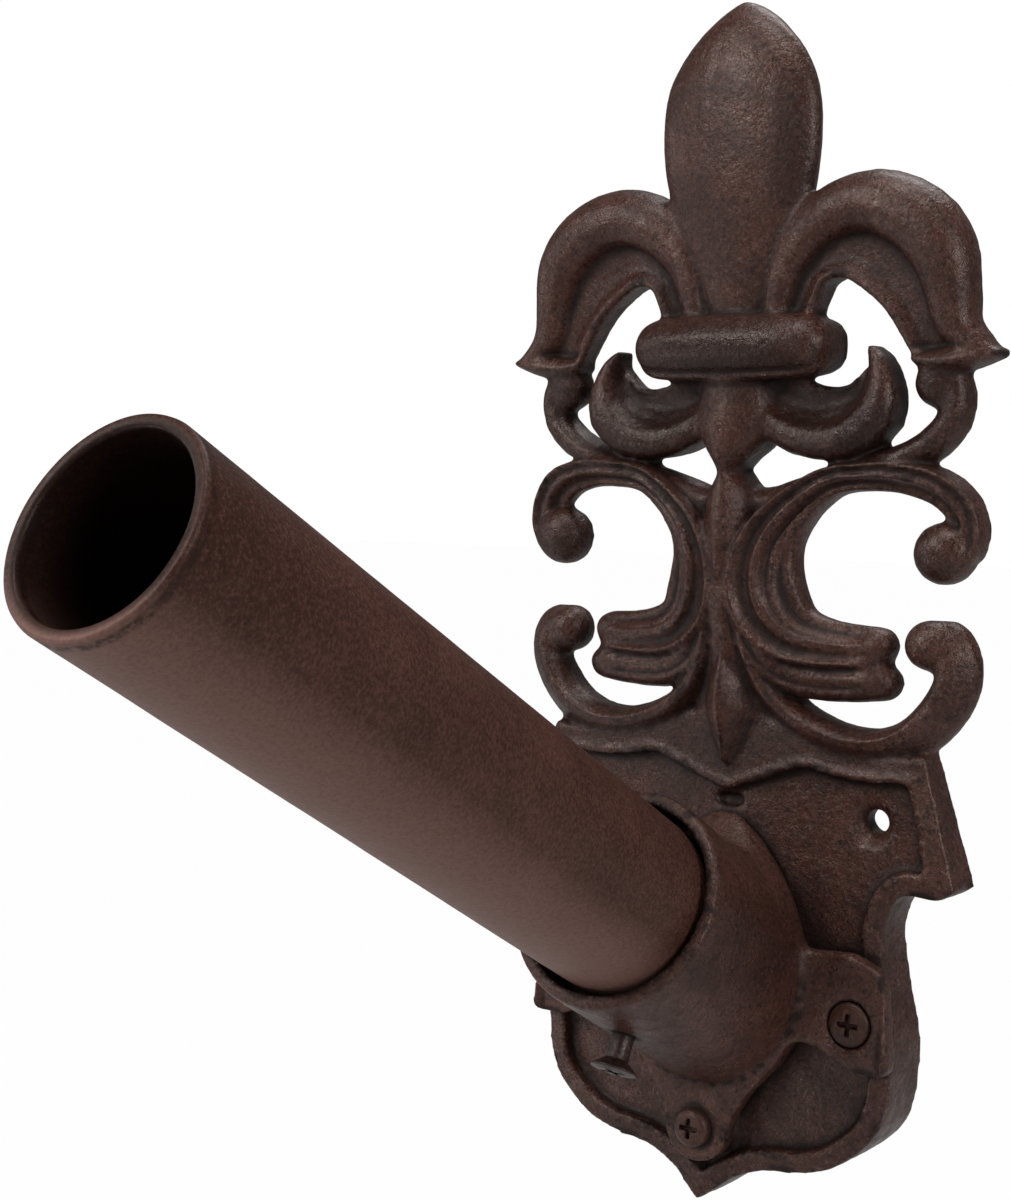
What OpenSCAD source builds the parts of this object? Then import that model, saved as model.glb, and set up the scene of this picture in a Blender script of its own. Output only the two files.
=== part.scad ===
// Wall-mounted flagpole holder: a cast plate with a fleur-de-lis crest and a shield,
// a socket casting bolted to the shield, and a pole tube held by a set screw.
// The wall is the plane y = 0, the pole points out and up along -Y, and z = 0 is the
// line through the two wall holes.  Plate shapes are drawn flat (x across, y up,
// z out of the wall) and stood up by upright().

/* [Crest] */
// Width across the tips of the two side petals
crest_w = 151.4; // [130:0.2:180]
// Height from the tip of the lowest leaf to the top of the middle petal
crest_h = 207.4; // [180:0.2:240]
// How far the collar, the thickest place, stands out from the wall
crest_depth = 21; // [17:0.5:26]
// Height of the lowest leaf's tip above the wall-hole line
crest_foot = 12.2; // [10:0.1:14]

/* [Shield] */
// Width across the horns at the wall
shield_w = 138.4; // [130:0.2:150]
// Width of the neck below the horns
neck_w = 100; // [96:0.5:106]
// Width across the round lobes
lobe_w = 109.8; // [106:0.2:116]
// Height of the top corners above the wall-hole line
shield_rise = 19.7; // [16:0.1:24]
// Depth of the bottom point below the wall-hole line
shield_drop = 108.6; // [104:0.1:118]
// How far the front stands from the wall at the top corners
front_top = 9.9; // [9:0.1:12]
// How far the front stands from the wall at the bottom point
front_low = 22.3; // [19:0.1:26]
// How far the field is sunk below the front
sink = 3; // [1.5:0.1:3.5]
// Thickness of the metal behind the field
web_t = 4.6; // [3.6:0.1:5.5]
// Thickness of the side walls at the wall
side_t = 4.5; // [3:0.1:6]
// Width of the border around the field
border_w = 6.5; // [5:0.1:8]
// Height of the bead that runs round the field, above the front
bead_h = 0.7; // [0.3:0.1:1.2]
// How far the sides lean in between the wall and the front
draft = 1; // [0.5:0.1:2]

/* [Wall holes] */
// Spacing of the two wall holes
hole_span = 87; // [80:0.5:92]
// Diameter of the wall holes
wall_hole_d = 6.4; // [5:0.1:7]
// Diameter of their countersinks
countersink_d = 12.4; // [10:0.1:14]
// Diameter of the bosses behind them, which bear on the wall
wall_boss_d = 16; // [14:0.5:18]

/* [Socket] */
// Angle of the pole above level
tilt = 30; // [22:1:38]
// Drop from the wall-hole line to where the pole's axis meets the wall
axis_drop = 54.2; // [51:0.1:57]
// Distance of the socket's rim from the wall, along the pole's axis
rim_reach = 78.4; // [72:0.2:95]
// Wall of the sleeve around the fitted part of the bore
sleeve_wall = 5.45; // [4:0.05:6.5]
// Metal left between the bore and the back of the socket
floor_t = 4; // [3:0.5:6]
// Depth of the wider mouth of the bore
relief_depth = 14; // [8:1:18]
// Gap around the tube in that mouth
relief_gap = 1.85; // [1:0.05:2.5]
// Thickness of the three ears
ear_t = 5.5; // [4:0.1:7]
// Spacing of the left and right ear screws
ear_span = 88; // [84:0.5:90]
// Drop from the wall-hole line to those two screws
ear_drop = 52.2; // [50:0.1:55]
// Drop from the wall-hole line to the bottom ear's screw
toe_drop = 87.6; // [85:0.1:90]
// Height of the left and right ears
ear_h = 30.5; // [26:0.5:34]
// Distance from an ear's screw to its outer end
ear_end = 11.8; // [9:0.1:12]
// Radius of the bottom ear's round end
toe_r = 9.7; // [8.5:0.1:11]

/* [Pole tube] */
// Outside diameter of the tube
tube_od = 48.3; // [42.4:0.1:50]
// Wall of the tube
tube_wall = 3.2; // [2:0.1:5]
// Distance of the tube's mouth from the wall, along its axis
tube_reach = 277.2; // [180:0.2:340]
// Chamfer on the mouth's outer edge
tube_chamfer = 0.8; // [0.3:0.1:1.5]
// Radial clearance between the tube and its bore
tube_fit = 0.09; // [0.05:0.01:0.1]
// Gap between the tube's end and the floor of the bore
tube_seat_gap = 0.3; // [0.1:0.05:0.5]

/* [Fasteners] */
// Diameter of the ear screws and the set screw
screw_d = 6; // [5:0.5:6]
// Radial clearance of a screw in the hole it passes through
screw_fit = 0.3; // [0.2:0.05:0.4]
// Radial clearance left in a threaded hole, where the thread isn't drawn
thread_fit = 0.05; // [0.02:0.01:0.08]
// Diameter of the ear screws' pan heads
pan_d = 12; // [11:0.1:13]
// Height of those heads
pan_h = 3.6; // [3:0.1:4.5]
// How far the left and right heads sit down in the ears
head_sink = 2.9; // [1:0.1:3.2]
// Gap around those two heads
head_gap = 0.8; // [0.4:0.1:1.2]
// Width of the nuts across their flats
nut_af = 10; // [9:0.1:11]
// Thickness of the nuts
nut_h = 4.6; // [3:0.1:5]
// Length of an ear screw that shows past its nut
screw_past = 1; // [0.5:0.1:2]
// Distance of the set screw back from the socket's rim
set_back = 24.1; // [20:0.1:26]
// Length of the set screw's shank left outside the sleeve
set_standoff = 6.4; // [3:0.1:8]
// Diameter of the set screw's head
set_head_d = 12.4; // [11:0.1:13]
// Height of the set screw's head
set_head_h = 3.4; // [3:0.1:4.5]
// Gap between the set screw's tip and the tube
set_gap = 0.2; // [0.1:0.05:0.3]

/* [Hidden] */
iron = [0.27, 0.20, 0.18];
dark_iron = [0.24, 0.18, 0.165];
screw_iron = [0.30, 0.24, 0.22];
eps = 0.01;

// the crest's lowest tip as it is drawn, before it is resized
drawn_foot = 11;
// how far its bars are drawn into the wall, before they are cut off level with it
root = 1;

// the shield's front leans out towards the bottom
lean = atan((front_low - front_top) / (shield_rise + shield_drop));
front_mid = front_top + shield_rise * tan(lean);
function front_at(z) = front_mid - z * tan(lean);

// socket and tube
tube_r = tube_od / 2;
bore_r = tube_r + tube_fit;
sleeve_r = bore_r + sleeve_wall;
// the bore stops where its lowest edge comes within floor_t of the sunk field
seat_reach = (front_at(-axis_drop) - sink + floor_t + bore_r * (sin(tilt) + tan(lean)) + 1) / cos(tilt);
ear_half = ear_span / 2;
boss_r = 9;
boss_gap = 0.3;
nut_room = nut_af / 2 / cos(30) + 0.6;
// long enough to cut through anything here
far = 2 * (crest_h + shield_drop + tube_reach);
nut_seat = sink + web_t;
set_reach = rim_reach - set_back;

// ---------- helpers ----------

// stands a flat drawing (z out) against the wall (-Y out)
module upright() {
    rotate([90, 0, 0]) children();
}

// a child and its mirror image about x = 0
module both_sides() {
    children();
    mirror([1, 0, 0]) children();
}

// a flat drawing laid on the shield's front, with z out of that front
module on_front() {
    upright()
        translate([0, 0, front_mid])
            rotate([-lean, 0, 0])
                children();
}

// moves a child's z axis onto the pole's axis, at a distance from the wall
module on_axis(reach) {
    translate([0, 0, -axis_drop])
        rotate([90 - tilt, 0, 0])
            translate([0, 0, reach])
                children();
}

// smooth curve through rows of numbers of any length
function curve_at(a, b, c, d, t) =
    0.5 * (2 * b + (c - a) * t + (2 * a - 5 * b + 4 * c - d) * t * t + (3 * b - a - 3 * c + d) * t * t * t);
function curve(p, k) = [
    for (i = [0:len(p) - 2], j = [0:k - 1])
        curve_at(p[max(i - 1, 0)], p[i], p[i + 1], p[min(i + 2, len(p) - 1)], j / k),
    p[len(p) - 1]
];
function unit(v) = v / max(norm(v), 1e-9);
function side(p, i) =
    let (a = p[max(i - 1, 0)], b = p[min(i + 1, len(p) - 1)], t = unit([b[0] - a[0], b[1] - a[1]]))
    [-t[1], t[0], 0];

// skin over rings of equal length, closed at both ends
module skin(rings) {
    m = len(rings[0]);
    n = len(rings);
    polyhedron(
        points = [for (r = rings) each r],
        faces = concat(
            [[for (j = [0:m - 1]) j]],
            [for (i = [0:n - 2], j = [0:m - 1])
                [i * m + j, (i + 1) * m + j, (i + 1) * m + (j + 1) % m, i * m + (j + 1) % m]],
            [[for (j = [m - 1:-1:0]) (n - 1) * m + j]]
        ),
        convexity = 8
    );
}

// a moulded bar along rows of [x, y, half width, height], with a cross-section of
// [across, up] points from +1 on its left to -1 on its right
module bar(rows, section, k = 2) {
    p = curve(rows, k);
    skin([
        for (i = [0:len(p) - 1])
            let (s = side(p, i))
            [for (q = section)
                [p[i][0], p[i][1], q[1] > 0 ? q[1] * p[i][3] : -root] + s * q[0] * max(p[i][2], 0.2)]
    ]);
}

// the round end of a scroll: a short drum with a domed top
module knob(x, y, r, h, steps = 3) {
    translate([x, y, 0])
        rotate_extrude($fn = 14)
            polygon(concat(
                [[0, -root], [r * 0.97, -root]],
                [for (i = [0:steps - 1])
                    let (a = 90 * i / steps)
                    [r * cos(a), h * (0.42 + 0.58 * sin(a))]],
                [[0, h]]
            ));
}

// cross-sections: each point is [share of the half width, share of the height]
domed = concat([[0.84, 0]], [for (a = [0:18:180]) [cos(a), 0.48 + 0.52 * sin(a)]], [[-0.84, 0]]);
low_round = [
    [0.98, 0], [1, 0.26], [0.82, 0.7], [0.44, 0.93], [0, 1],
    [-0.44, 0.93], [-0.82, 0.7], [-1, 0.26], [-0.98, 0],
];
plump = [
    [0.9, 0], [1, 0.36], [0.84, 0.76], [0.42, 0.97],
    [-0.42, 0.97], [-0.84, 0.76], [-1, 0.36], [-0.9, 0],
];
leafy = [
    [0.86, 0], [1, 0.5], [0.84, 0.72], [0.5, 0.87], [0.15, 0.97], [0, 1],
    [-0.15, 0.97], [-0.5, 0.87], [-0.84, 0.72], [-1, 0.5], [-0.86, 0],
];
leaning = [
    [0.94, 0], [1, 0.5], [0.74, 0.82], [0.42, 1], [0.1, 0.94],
    [-0.4, 0.72], [-0.85, 0.5], [-1, 0.3], [-0.95, 0],
];
shoulder = [[0.9, 0], [1, 0.34], [0.86, 0.72], [0.4, 0.95], [-0.3, 1], [-0.85, 0.86], [-1, 0.68], [-1, 0]];
dished = [[1, 0], [1, 0.92], [0.5, 0.77], [-0.3, 0.76], [-0.82, 1], [-1, 0.86], [-0.92, 0]];
ribbed = [
    [0.72, 0], [0.95, 0.2], [1, 0.42], [0.86, 0.6], [0.5, 0.58], [0.2, 0.7], [0.06, 0.9], [-0.12, 0.91],
    [-0.3, 0.78], [-0.58, 0.82], [-0.76, 1], [-0.92, 0.9], [-1, 0.4], [-1, 0],
];
lipped = [
    [0.92, 0], [1, 0.42], [0.96, 0.64], [0.84, 0.8], [0.6, 0.92], [0.3, 0.99],
    [0, 1], [-0.32, 0.98], [-0.62, 0.9], [-0.76, 0.81], [-0.9, 0.8], [-1, 0.68], [-0.98, 0.42], [-0.9, 0],
];

// ---------- crest, drawn flat ----------

module middle_petal() {
    bar([
        [0, 133, 10.5, 12], [0, 145, 15, 13.5], [0, 158, 19.7, 15], [0, 170, 22.8, 16],
        [0, 183, 24.2, 16], [0, 195, 22.8, 15.5], [0, 204, 18.3, 14], [0, 211, 12, 12],
        [0, 215.8, 5.7, 9], [0, 218.2, 0.8, 6.5],
    ], domed, 3);
}

module side_petal() {
    // outer shoulder, over the top and down to the flared tip
    bar([
        [11.4, 131.5, 4, 13], [15.5, 147.5, 5.4, 13.5], [25.5, 159, 7.4, 14.5], [38.8, 162.6, 8.2, 15],
        [51.4, 157.6, 8.7, 15], [58.8, 148.6, 8, 14.5], [61.4, 138.5, 6.3, 13],
        [63.4, 129.2, 5, 12], [72, 122.6, 1.6, 10],
    ], shoulder, 3);
    // sunk inner band
    bar([
        [16, 130.5, 6.4, 11], [21.5, 144.8, 6.2, 11], [31.6, 149.8, 7.3, 10.5], [41.6, 146, 8, 10],
        [49.6, 138.4, 7.7, 10], [55, 129, 7, 9.5], [58.6, 121, 6.2, 9],
    ], dished);
    // lip along the bottom edge
    bar([
        [51.4, 121.4, 1.8, 9.5], [58, 120.4, 3.4, 10.5],
        [66.4, 121.7, 3.8, 11], [75.3, 122.2, 0.9, 8.5],
    ], plump);
}

module collar() {
    bar([
        [-29.6, 125, 2, 12.5], [-28, 125, 5.9, 16], [-23, 125, 8.4, 19.2], [-12, 125, 8.9, 20.7],
        [0, 125, 9.1, 21],
        [12, 125, 8.9, 20.7], [23, 125, 8.4, 19.2], [28, 125, 5.9, 16], [29.6, 125, 2, 12.5],
    ], lipped);
}

module hook() {
    bar([
        [5, 112, 2.8, 11], [13, 103.6, 4.9, 12], [24, 100.2, 5.4, 13], [34, 101.3, 6.1, 13.5],
        [41, 107, 6.4, 13.5], [42.5, 114.5, 4.4, 12], [40.9, 121, 2.6, 10], [38.4, 124.8, 0.6, 8],
    ], shoulder);
    bar([
        [7, 115.5, 4.6, 9], [18, 110.8, 5.2, 9], [27, 109.8, 4.4, 8.5],
        [34.6, 112.4, 2.9, 8], [38.6, 119.5, 0.8, 7],
    ], dished);
}

module drop_bud() {
    bar([
        [0, 119, 12.6, 9.5], [0, 108, 13.6, 10.5], [-0.4, 101, 11.6, 11],
        [-0.8, 96, 6.8, 11], [-0.8, 92, 1.6, 10],
    ], plump);
    bar([
        [0, 120, 9, 14.5], [0, 108, 11.4, 17], [-0.4, 100, 9.6, 18],
        [-0.8, 95, 5.6, 18], [-0.8, 90.8, 0.8, 16.5],
    ], leafy);
}

module s_arm() {
    bar([
        [60.6, 121, 2.6, 6.5], [62.6, 113, 3.9, 8.5], [61.2, 105.1, 4.5, 9], [55.1, 98.7, 4.5, 9.5],
        [46.4, 95.2, 3.6, 10.5], [37, 93, 2.9, 11], [27, 90, 2.4, 11],
    ], low_round);
    knob(57, 114.6, 6.4, 10);
}

// out: how much further the knob's end stands from the middle
module c_scroll(out = 0) {
    // over the top from the knob, down beside the spine and out into the upper lobe
    bar([
        [64 + out, 70.2, 4.6, 8.5], [65.6 + out, 76.4, 4.8, 9],
        [63.4 + out, 82.8, 5, 10], [57.6 + out / 2, 87.8, 4.8, 11.5],
        [48.6, 90.2, 4.3, 12.5], [39, 90.4, 4, 13.5], [29, 88.8, 4.2, 14.5], [20, 82.6, 5.2, 16],
        [13, 74, 7.1, 18], [10.6, 64, 9.2, 19], [12.4, 54.8, 9.8, 18.2], [19, 47.9, 7.9, 16],
        [30, 45.5, 6.2, 13.5], [42, 45.4, 5.4, 11.5],
    ], ribbed, 3);
    knob(59.6 + out / 2, 71 - out / 2, 8.5, 12);
    knob(42, 45.3, 5.3, 9.8);
    // lower lobe
    bar([
        [4.5, 52, 3, 16.5], [9.5, 42.6, 4.4, 15.5], [18, 36.4, 5.3, 13.5],
        [29, 34.9, 5.3, 12], [43, 35.7, 5.1, 11],
    ], plump);
    knob(43.5, 35.7, 5.2, 10.4);
    // web up to the drop bud's tip
    bar([
        [-1, 83, 6.6, 9.5], [6, 82, 5, 10], [12, 82.6, 5, 10.5],
        [18, 85.2, 4.6, 10.5], [26, 88.8, 3.4, 10.5], [34, 90.5, 2, 10.5],
    ], plump, 1);
}

// rise: how much higher the knob's end stands
module low_scroll(rise = 0) {
    bar([
        [3, 57, 2.6, 17], [4.6, 45, 3.6, 16], [9.5, 33.2, 4.4, 14.5],
        [19, 24.2, 4.8, 13.5], [31, 19.2, 5, 13],
        [42, 18.4, 5.1, 13], [53, 21.9, 5.6, 13], [61.2, 30.4, 6, 12], [64.5, 39.6, 5.8, 11],
        [62.4, 47 + rise, 5, 10], [57.4, 49 + rise, 3.4, 9.5],
    ], leaning, 3);
    knob(56.6, 45.6 + rise, 7, 11.5);
}

module spine() {
    bar([
        [-0.8, 92.6, 0.8, 15], [-0.6, 88.6, 4.8, 17], [-0.4, 82, 7.2, 18.5],
        [0, 73, 5.8, 19.6], [0, 62, 1.2, 19.6],
    ], leafy);
    bar([
        [0, 88, 4.5, 10.5], [0, 79, 8.4, 13], [0, 68, 6, 17], [0, 58, 5, 19],
        [0, 48, 5.4, 17], [0, 35, 10, 12.5], [0, 24, 13, 11],
    ], plump, 1);
    bar([
        [0, 42, 0.8, 15], [0, 35.5, 4.4, 17.5], [0, 27, 6.5, 18],
        [0, 18.5, 4.8, 16], [0, 11, 0.8, 14],
    ], leafy);
}

module crest_bars() {
    middle_petal();
    collar();
    drop_bud();
    spine();
    both_sides() {
        side_petal();
        hook();
        s_arm();
    }
    // the two sides' scroll ends differ a little in the photo
    c_scroll(0.8);
    mirror([1, 0, 0]) c_scroll(-1.4);
    low_scroll(0.9);
    mirror([1, 0, 0]) low_scroll(-0.9);
}

// the bars, cut off level with the wall and brought to size
module crest() {
    translate([0, crest_foot, 0])
        resize([crest_w, crest_h, crest_depth])
            translate([0, -drawn_foot, 0])
                difference() {
                    union() crest_bars();
                    translate([-far / 2, -far / 2, -far])
                        cube([far, far, far]);
                }
}

// ---------- shield, drawn flat ----------

// right half of the outline at the wall, from the top middle round to the point
function half_outline() =
    let (h = shield_w / 2, n = neck_w / 2, l = lobe_w / 2, r = shield_rise, d = shield_drop)
    concat(
        curve([[0, r + 11], [12, r + 6], [30, r - 1], [46, r - 2], [h - 10.9, r]], 2),
        curve([
            [h, -15], [h - 5, -17.9], [h - 10.7, -17.7], [n + 4.4, -18.1], [n + 1.5, -21.8],
            [n, -30.3], [(n + l) / 2 - 0.2, -45], [l, -59], [l - 2.6, 29.4 - d],
            [l - 13.5, 17.7 - d], [31, 13.2 - d], [19, 11.5 - d], [10.5, 8 - d], [5, 3.8 - d], [0, -d],
        ], 3)
    );
function whole(half) = concat(half, [for (i = [len(half) - 2:-1:1]) [-half[i][0], half[i][1]]]);
function inset(p, d) = [
    for (i = [0:len(p) - 1])
        let (
            m = len(p),
            a = unit(p[i] - p[(i + m - 1) % m]),
            b = unit(p[(i + 1) % m] - p[i]),
            t = unit(a + b)
        )
        p[i] + [t[1], -t[0]] * d / max(0.6, t * a)
];
function level(p, z) = [for (i = [len(p) - 1:-1:0]) [p[i][0], p[i][1], z]];

// under side of the arched top of the field, which comes down to a cusp in the middle
function half_arch() =
    let (w = shield_w / 2)
    concat(
        curve([[0, 4.7], [12, 9.2], [22, 13], [32, 12.9], [42, 12], [w - 14, 11.4]], 2),
        [[w - 9, -13], [w + 20, -20], [w + 20, -shield_drop - 20], [0, -shield_drop - 20]]
    );

module field(grow = 0) {
    offset(delta = grow)
        intersection() {
            offset(delta = -border_w) polygon(whole(half_outline()));
            polygon(whole(half_arch()));
        }
}

// everything from the wall out to a plane that follows the front, at a height above it
module behind_front(height = 0) {
    translate([0, 0, front_mid])
        rotate([-lean, 0, 0])
            translate([-far / 2, -far / 2, height - far])
                cube([far, far, far]);
}

module shield() {
    outline = whole(half_outline());
    difference() {
        union() {
            intersection() {
                skin([level(outline, 0), level(inset(outline, draft), front_low * 1.25)]);
                behind_front();
            }
            // bead round the field
            intersection() {
                translate([0, 0, 1])
                    linear_extrude(front_low * 1.25)
                        difference() {
                            field(2);
                            field();
                        }
                behind_front(bead_h);
            }
        }
        // the field, sunk below the front
        difference() {
            linear_extrude(front_low * 1.4) field();
            behind_front(-sink);
        }
        // hollow back
        intersection() {
            translate([0, 0, -5])
                linear_extrude(front_low * 1.4)
                    offset(delta = -side_t) polygon(outline);
            behind_front(-nut_seat);
        }
    }
}

// ---------- wall plate ----------

module wall_plate() {
    color(iron)
        difference() {
            union() {
                upright() crest();
                upright()
                    resize([shield_w, 0, 0])
                        shield();
                // bosses that bear on the wall
                upright()
                    for (x = [-1, 1] * hole_span / 2)
                        translate([x, 0, 0])
                            cylinder(h = front_mid - nut_seat + web_t / 2, d = wall_boss_d, $fn = 48);
                // bosses that carry the ears
                on_front()
                    for (p = ear_points())
                        translate([p[0], p[1], -nut_seat])
                            cylinder(h = nut_seat, r = boss_r, $fn = 48);
            }
            // countersunk wall holes
            upright()
                for (x = [-1, 1] * hole_span / 2)
                    translate([x, 0, front_mid - sink])
                        wall_hole();
            // slot between the cusp and the socket's hood
            on_front()
                for (x = [-1, 1] * 2.4)
                    translate([x, 2.2, -sink - 2.4])
                        cylinder(h = 10, r = 1.8, $fn = 32);
            on_front() {
                translate([-2.4, 0.4, -sink - 2.4]) cube([4.8, 3.6, 10]);
                // screw holes under the ears
                for (p = ear_points())
                    translate([p[0], p[1], -40])
                        cylinder(h = 50, r = screw_d / 2 + screw_fit, $fn = 48);
                // faced seats for the nuts
                for (p = ear_points())
                    translate([p[0], p[1], -nut_seat - far])
                        cylinder(h = far, r = nut_room, $fn = 48);
                // level seats for the ears
                linear_extrude(far)
                    socket_outline(0.5);
            }
        }
}

// a countersunk hole, from z = 0 inwards
module wall_hole() {
    deep = (countersink_d - wall_hole_d) / 2;
    translate([0, 0, -30])
        cylinder(h = 40, d = wall_hole_d, $fn = 48);
    translate([0, 0, -deep])
        cylinder(h = deep + 1, d1 = wall_hole_d, d2 = countersink_d + 2, $fn = 48);
}

// ---------- socket ----------

function ear_points() = [[-ear_half, -ear_drop], [ear_half, -ear_drop], [0, -toe_drop]];

// how far the screw at a point sits down in its ear
function sunk(p) = p[0] == 0 ? 0 : head_sink;

// the three ears, drawn flat
module socket_outline(grow = 0) {
    top = -ear_drop + ear_h * 0.6;
    low = top - ear_h;
    w = ear_half + ear_end;
    right = concat(
        [[0, top - 1], [sleeve_r - 2, top - 0.4], [w - 11.5, top + 0.6], [w - 2.2, top - 3.6], [w, low + 2], [w - 2, low]],
        curve([[w - 9.5, low], [sleeve_r, low + 5.5], [22.5, low - 3], [14, low - 13.5], [toe_r, -toe_drop + 1]], 3),
        [for (a = [-12:-26:-90]) [toe_r * cos(a), -toe_drop + toe_r * sin(a)]]
    );
    polygon([for (q = whole(right)) q + unit(q - [0, -ear_drop]) * grow]);
}

// right half of the hood's foot, an arch under the cusp
function hood_arch() =
    concat(
        curve([[0, 0], [5.5, -1.8], [14.5, -10.2], [23.5, -24], [sleeve_r - 2, -38]], 4),
        [[sleeve_r - 3, -44], [0, -44]]
    );

// everything out from the floor of the field
module above_field() {
    on_front()
        translate([-far / 2, -far / 2, -sink])
            cube([far, far, far]);
}

module socket() {
    color(dark_iron)
        difference() {
            union() {
                on_front()
                    linear_extrude(ear_t)
                        socket_outline();
                // sleeve, cut off level with the field
                intersection() {
                    on_axis(0)
                        cylinder(h = rim_reach, r = sleeve_r, $fn = 96);
                    above_field();
                }
                // hood that runs up from the sleeve to the cusp
                hull() {
                    intersection() {
                        on_axis(0)
                            cylinder(h = rim_reach * 0.5, r = sleeve_r - 0.3, $fn = 72);
                        above_field();
                        translate([-far / 2, -far / 2, 4 - axis_drop])
                            cube([far, far, far]);
                    }
                    on_front()
                        translate([0, 0, -sink])
                            linear_extrude(1.5)
                                polygon(whole(hood_arch()));
                }
            }
            // bore for the tube, with its wider mouth
            on_axis(seat_reach)
                cylinder(h = rim_reach, r = bore_r, $fn = 96);
            on_axis(rim_reach - relief_depth)
                cylinder(h = rim_reach, r = tube_r + relief_gap, $fn = 96);
            // threaded hole for the set screw
            on_axis(set_reach)
                rotate([90, 0, 0])
                    cylinder(h = sleeve_r + 20, r = screw_d / 2 + thread_fit, $fn = 48);
            // room for the bosses under the ears
            on_front()
                for (p = ear_points())
                    translate([p[0], p[1], -sink - 1])
                        cylinder(h = sink + 1, r = boss_r + boss_gap, $fn = 48);
            // screw holes through the ears, with seats for the heads of the left and right screws
            on_front()
                for (p = ear_points())
                    translate([p[0], p[1], 0]) {
                        translate([0, 0, -1])
                            cylinder(h = ear_t + 2, r = screw_d / 2 + screw_fit, $fn = 48);
                        if (sunk(p) > 0)
                            translate([0, 0, ear_t - sunk(p)])
                                cylinder(h = 10, r = pan_d / 2 + head_gap, $fn = 48);
                    }
        }
}

// ---------- tube ----------

module pole_tube() {
    start = seat_reach + tube_seat_gap;
    length = tube_reach - start;
    color(dark_iron)
        on_axis(start)
            rotate_extrude($fn = 96)
                polygon([
                    [tube_r - tube_wall, 0],
                    [tube_r, 0],
                    [tube_r, length - tube_chamfer],
                    [tube_r - tube_chamfer, length],
                    [tube_r - tube_wall, length],
                ]);
}

// ---------- fasteners ----------

// cross recess in a head whose top is at z = 0
module cross_recess(size, deep) {
    for (a = [0, 90])
        rotate([0, 0, a])
            translate([-size / 2, -0.7, -deep])
                cube([size, 1.4, deep + 1]);
}

// pan-head screw drawn flat through an ear
module ear_screw(p) {
    seat = ear_t - sunk(p);
    grip = seat + nut_seat + nut_h + screw_past;
    color(screw_iron)
        on_front()
            translate([p[0], p[1], seat])
                difference() {
                    union() {
                        rotate_extrude($fn = 48)
                            polygon([
                                [0, 0], [pan_d / 2, 0], [pan_d / 2, pan_h * 0.45], [pan_d / 2 * 0.93, pan_h * 0.72],
                                [pan_d / 2 * 0.75, pan_h * 0.9], [pan_d / 2 * 0.45, pan_h], [0, pan_h],
                            ]);
                        translate([0, 0, -grip])
                            cylinder(h = grip + eps, d = screw_d, $fn = 48);
                    }
                    translate([0, 0, pan_h])
                        cross_recess(pan_d * 0.5, pan_h * 0.55);
                }
}

module ear_nut(p) {
    color(screw_iron)
        on_front()
            translate([p[0], p[1], -nut_seat - nut_h])
                difference() {
                    cylinder(h = nut_h, d = nut_af / cos(30), $fn = 6);
                    translate([0, 0, -1])
                        cylinder(h = nut_h + 2, r = screw_d / 2 + thread_fit, $fn = 48);
                }
}

module set_screw() {
    shank = sleeve_r + set_standoff - tube_r - set_gap;
    color(screw_iron)
        on_axis(set_reach)
            rotate([90, 0, 0])
                translate([0, 0, tube_r + set_gap])
                    difference() {
                        rotate_extrude($fn = 48)
                            polygon([
                                [0, 0], [screw_d / 2 - 0.6, 0], [screw_d / 2, 0.6], [screw_d / 2, shank],
                                [set_head_d / 2, shank + set_head_h * 0.7], [set_head_d / 2, shank + set_head_h * 0.85],
                                [set_head_d / 2 * 0.6, shank + set_head_h], [0, shank + set_head_h],
                            ]);
                        translate([0, 0, shank + set_head_h])
                            cross_recess(set_head_d * 0.55, set_head_h * 0.5);
                    }
}

module ear_screw_left() { ear_screw(ear_points()[0]); }
module ear_screw_right() { ear_screw(ear_points()[1]); }
module ear_screw_bottom() { ear_screw(ear_points()[2]); }
module ear_nut_left() { ear_nut(ear_points()[0]); }
module ear_nut_right() { ear_nut(ear_points()[1]); }
module ear_nut_bottom() { ear_nut(ear_points()[2]); }

wall_plate();
socket();
pole_tube();
set_screw();
ear_screw_left();
ear_screw_right();
ear_screw_bottom();
ear_nut_left();
ear_nut_right();
ear_nut_bottom();
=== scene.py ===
import math

import bmesh
import bpy
import numpy as np
from mathutils import Matrix, Vector, noise
from mathutils.bvhtree import BVHTree
from mathutils.kdtree import KDTree


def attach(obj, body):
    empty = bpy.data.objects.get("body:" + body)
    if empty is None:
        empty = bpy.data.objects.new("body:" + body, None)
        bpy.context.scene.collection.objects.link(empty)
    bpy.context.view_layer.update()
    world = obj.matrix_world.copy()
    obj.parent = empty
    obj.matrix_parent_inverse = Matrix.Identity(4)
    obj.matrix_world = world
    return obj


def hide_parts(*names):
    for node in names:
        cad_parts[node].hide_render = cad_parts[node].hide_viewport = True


# The looks of a wall flagpole holder: each CAD piece gets a cast or turned skin and its paint.
# Lengths are metres, +Z is up and -Y points out of the wall.  Places on the plate's face are
# given as x, z in millimetres.

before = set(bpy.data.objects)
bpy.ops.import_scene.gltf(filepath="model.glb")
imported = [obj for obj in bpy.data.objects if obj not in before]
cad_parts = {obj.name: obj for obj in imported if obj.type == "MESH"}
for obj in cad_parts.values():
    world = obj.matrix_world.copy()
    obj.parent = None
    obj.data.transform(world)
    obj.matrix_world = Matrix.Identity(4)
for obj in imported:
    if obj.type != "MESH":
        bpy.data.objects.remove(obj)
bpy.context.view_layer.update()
SCENE = bpy.context.scene
MM = 0.001

# the pole's own directions: along it, across it and over it
TILT = math.radians(30)
AXIS = Vector((0, -math.cos(TILT), math.sin(TILT)))
ACROSS = Vector((1, 0, 0))
OVER = Vector((0, math.sin(TILT), math.cos(TILT)))
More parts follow.
